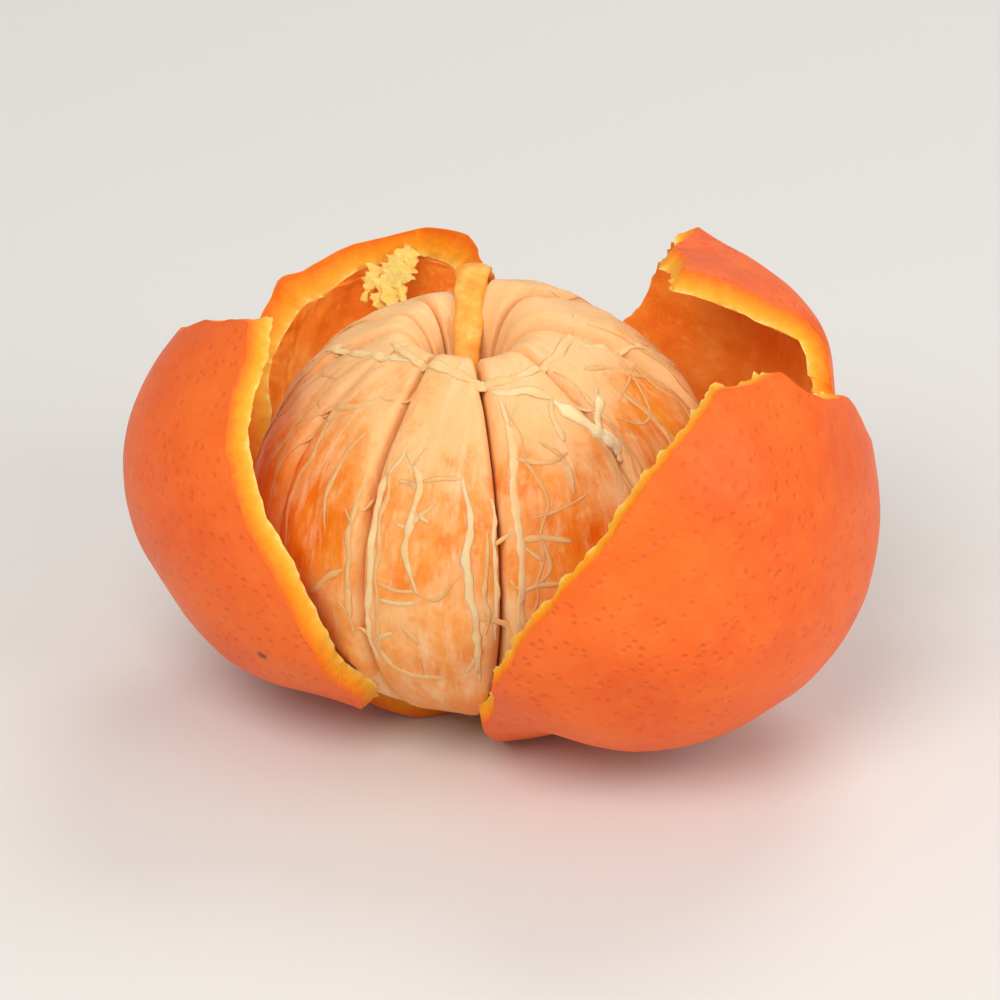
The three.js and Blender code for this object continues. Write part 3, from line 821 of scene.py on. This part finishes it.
def cling(lon, tilt, sink):
    """Where a string lies on the segments; it sinks at most this deep into a groove."""
    smooth_spot = Vector(ball_place(lon, tilt, 0))
    outer_spot = Vector(ball_place(lon, tilt, 0.006))
    away = (outer_spot - smooth_spot).normalized()
    hit, normal, face, far = ball_tree.ray_cast(outer_spot, -away, 0.03)
    if hit is None:
        return smooth_spot, away
    drop = min(max(far - 0.006, -0.003), sink)
    return smooth_spot - away * drop, away


def string_path(turns, wander, sink, seed):
    """A clinging line through (longitude, tilt) turns, with a little sideways wander."""
    marks = smooth_path([Vector((lon, tilt, 0)) for lon, tilt in turns], 1.1)
    points, ups = [], []
    for mark in marks:
        sway = noise.noise(Vector((mark.x / 9 + seed, mark.y / 9, seed))) * wander
        steep = max(math.sin(math.radians(mark.y)), 0.3)
        spot, away = cling(mark.x + sway / steep, mark.y + 0.4 * sway, sink)
        points.append(spot)
        ups.append(away)
    for _ in range(2):
        before, after = points[:1] + points[:-1], points[1:] + points[-1:]
        points = [(a + 2 * p + b) / 4 for a, p, b in zip(before, points, after)]
    return points, ups


random.seed(41)
net = bmesh.new()
bright_layer = net.verts.layers.float.new("bright")


def add_string(turns, wide, bright=0.3, wander=1.4, sink=0.0009, flat=0.24, ends=0.3, forks=0):
    """A flat string through the turns; bright is how white it is, ends how thin it starts and stops."""
    seed = turns[0][0] * 0.37 + turns[-1][1] * 0.11
    for _ in range(forks):
        spot = random.uniform(0.1, 0.9) * (len(turns) - 1)
        here, there = turns[int(spot)], turns[int(spot) + 1]
        share = spot - int(spot)
        lon, tilt = (a + (b - a) * share for a, b in zip(here, there))
        way, long = random.uniform(0, 2 * math.pi), random.uniform(3, 9)
        lon_step, tilt_step = long * math.cos(way), long * math.sin(way)
        bend_lon = lon + lon_step * 0.5 + random.uniform(-1, 1)
        bend = (bend_lon, tilt + tilt_step * 0.5 + random.uniform(-1, 1))
        add_string([(lon, tilt), bend, (lon + lon_step, tilt + tilt_step)], wide * 0.5, bright * 0.7)
    points, ups = string_path(turns, wander, sink, seed)
    count = len(points)
    widths = []
    for i, p in enumerate(points):
        share = i / (count - 1)
        thin = ends + (1 - ends) * min(1, 5 * share, 5 * (1 - share))
        widths.append(wide * thin * (1 + 0.7 * noise.noise(p / 0.0015 + Vector((seed, 0, 0)))))
    heights = [max(w * flat, 0.00006) for w in widths]
    lifted = [p + up * h * 0.2 for p, up, h in zip(points, ups, heights)]
    known = len(net.verts)
    cord(lifted, widths, heights, ups, 8, net)
    net.verts.ensure_lookup_table()
    for index in range(known, len(net.verts)):
        net.verts[index][bright_layer] = bright


# The white rim round the mouth of the core, and the frayed ridge on the right front segment.
add_string([(-75, 20), (-40, 21), (-10, 23), (10, 26), (35, 25), (70, 23), (100, 24)], 0.0006, 0.55, ends=0.6)
add_string([(11, 28), (20, 30), (30, 30), (38, 34)], 0.0006, 0.7)
add_string([(38, 34), (42, 42), (47, 48), (50, 52)], 0.0008, 1.0, flat=0.5, ends=0.5, forks=5)
add_string([(56, 37), (50, 42), (47, 48)], 0.0005, 0.9, flat=0.5, forks=3)
add_string([(45, 45), (50, 50), (49, 54)], 0.0011, 1.0, flat=0.35, ends=0.5, forks=3)
add_string([(48, 49), (46, 57), (48, 66)], 0.0004, 0.6)
add_string([(38, 34), (33, 38), (32, 46)], 0.0004, 0.6)
# Front segment: pale lines beside both grooves, two long inner strings and their rungs.
add_string([(15, 30), (16.5, 45), (14.5, 57), (13, 68), (13, 84), (14, 101)], 0.0005, 0.65, forks=4)
add_string([(7, 58), (7.5, 72), (7, 86), (8, 101)], 0.00042, 0.75)
add_string([(4.5, 66), (5, 80), (5, 98)], 0.00028, 0.35)
add_string([(-0.5, 53), (1, 64), (0, 76), (2, 90), (3, 104), (3, 117)], 0.0005, 0.75, forks=4)
add_string([(-21, 47), (-24, 58), (-25, 70), (-25, 84), (-25, 100), (-24, 113)], 0.00048, 0.65, forks=4)
add_string([(-30, 58), (-32, 72), (-31, 90), (-31, 106)], 0.00036, 0.4, forks=4)
add_string([(-20, 48), (-14, 55), (-15, 64), (-15, 74), (-12, 87)], 0.00042, 0.6, forks=4)
add_string([(-14, 55), (-8, 54), (-0.5, 54)], 0.0003, 0.3)
add_string([(-7, 60), (-12, 64), (-15, 68), (-20, 67)], 0.0003, 0.35)
add_string([(-22, 90), (-17, 90), (-12, 89)], 0.00034, 0.5)
add_string([(-23, 85), (-17, 86), (-13, 85)], 0.00028, 0.3)
add_string([(-24, 104), (-21, 112), (-14, 116), (-5, 116)], 0.00036, 0.4)
add_string([(-16, 97), (-11, 103)], 0.0003, 0.3)
add_string([(2, 92), (6, 93), (10, 95), (13, 102)], 0.0004, 0.35)
# Right front segment: short rungs and a forked scrap of net.
add_string([(13, 70), (20, 70), (27, 72)], 0.00042, 0.35)
add_string([(13, 86), (17, 83), (23, 83), (31, 84)], 0.00036, 0.45)
add_string([(17, 83), (20, 78), (19, 70)], 0.00026, 0.3)
add_string([(13, 84), (14, 93), (17, 99), (22, 103)], 0.0004, 0.45)
add_string([(16, 90), (20, 92), (19, 97)], 0.0003, 0.35)
add_string([(24, 44), (30, 50), (29, 60)], 0.00034, 0.3)
add_string([(15, 48), (24, 50), (34, 49)], 0.00034, 0.25)
# Left front segments: a crest line and bowed veins that fall to the left.
add_string([(-108, 50), (-94, 36), (-66, 26), (-42, 22)], 0.0006, 0.7, forks=4)
add_string([(-58, 42), (-66, 50), (-73, 62), (-74, 76)], 0.00038, 0.35, forks=4)
add_string([(-53, 44), (-62, 54), (-68, 66), (-68, 84)], 0.0003, 0.3)
add_string([(-40, 34), (-50, 42), (-66, 46)], 0.0004, 0.35)
add_string([(-36, 46), (-42, 60), (-40, 76)], 0.0003, 0.25)
add_string([(-45, 96), (-38, 88), (-33, 84)], 0.0004, 0.35)
# Top right: the line along the wall between the two big segments.
add_string([(78, 26), (90, 33), (101, 45), (108, 58)], 0.0006, 0.6, forks=4)
add_string([(60, 30), (72, 34), (84, 44)], 0.00035, 0.3)

# Thin veins: each groove and each segment's back has a few of its own, all round the ball. The
# front segments, whose walls stand at these longitudes, have fewer beside their own strings.
FRONT_WALLS = (290, 400)
for number in range(len(WALLS) - 1):
    left, right = WALLS[number], WALLS[number + 1]
    in_front = FRONT_WALLS[0] < left < FRONT_WALLS[1]
    for vein in range(1 if in_front else 3):
        share = (vein + 0.5) / 3 + random.uniform(-0.1, 0.1)
        lon = left + (right - left) * share
        drift = random.uniform(-5, 5)
        end = random.uniform(60, 118)
        turns = [(lon, 24 + random.uniform(0, 14)), (lon + drift, end * 0.6), (lon - drift * 0.6, end)]
        add_string(turns, random.uniform(0.0002, 0.0004), random.uniform(0.1, 0.4), 2.5)
    for vein in range(1 if in_front else 4):
        tilt = random.uniform(34, 100)
        reach = random.uniform(0.3, 0.7) * (right - left)
        start = random.uniform(left, right - reach * 0.5)
        middle = (start + reach / 2, tilt + random.uniform(-6, 6))
        turns = [(start, tilt), middle, (start + reach, tilt + random.uniform(-8, 8))]
        add_string(turns, random.uniform(0.00018, 0.0003), random.uniform(0.1, 0.35), 2.0)
    if not in_front:
        add_string([(left + 3, 26), (left + 3, 55), (left + 2.5, 88), (left + 3, 116)], 0.0004, 0.35)
        add_string([(left - 3, 32), (left - 3, 60), (left - 2.5, 94)], 0.00035, 0.3)

string_paint, string_shader = new_paint("white_pith")
here = add_node(string_paint, "ShaderNodeTexCoord").outputs["Object"]
bright = add_node(string_paint, "ShaderNodeAttribute", attribute_name="bright").outputs["Fac"]
mottle = maths(string_paint, "MULTIPLY_ADD", uneven(string_paint, here, 0.0025, 3.0), 0.8, bright)
tones = [(0.0, (0.93, 0.37, 0.10)), (0.45, (0.96, 0.52, 0.20)), (1.0, (0.98, 0.74, 0.40))]
fuzz = bumps(string_paint, grain(string_paint, here, 0.0005, 3.0), 0.4, 0.0002)
colour = ramp(string_paint, mottle, tones)
finish_paint(string_paint, string_shader, colour, fuzz, 0.6, 0.5, 0.3, (1.0, 0.6, 0.3), 0.0015)
strings = soft_object("pith_strings", net, string_paint)
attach(strings, "root")
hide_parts("pith_web")

bpy.context.view_layer.update()
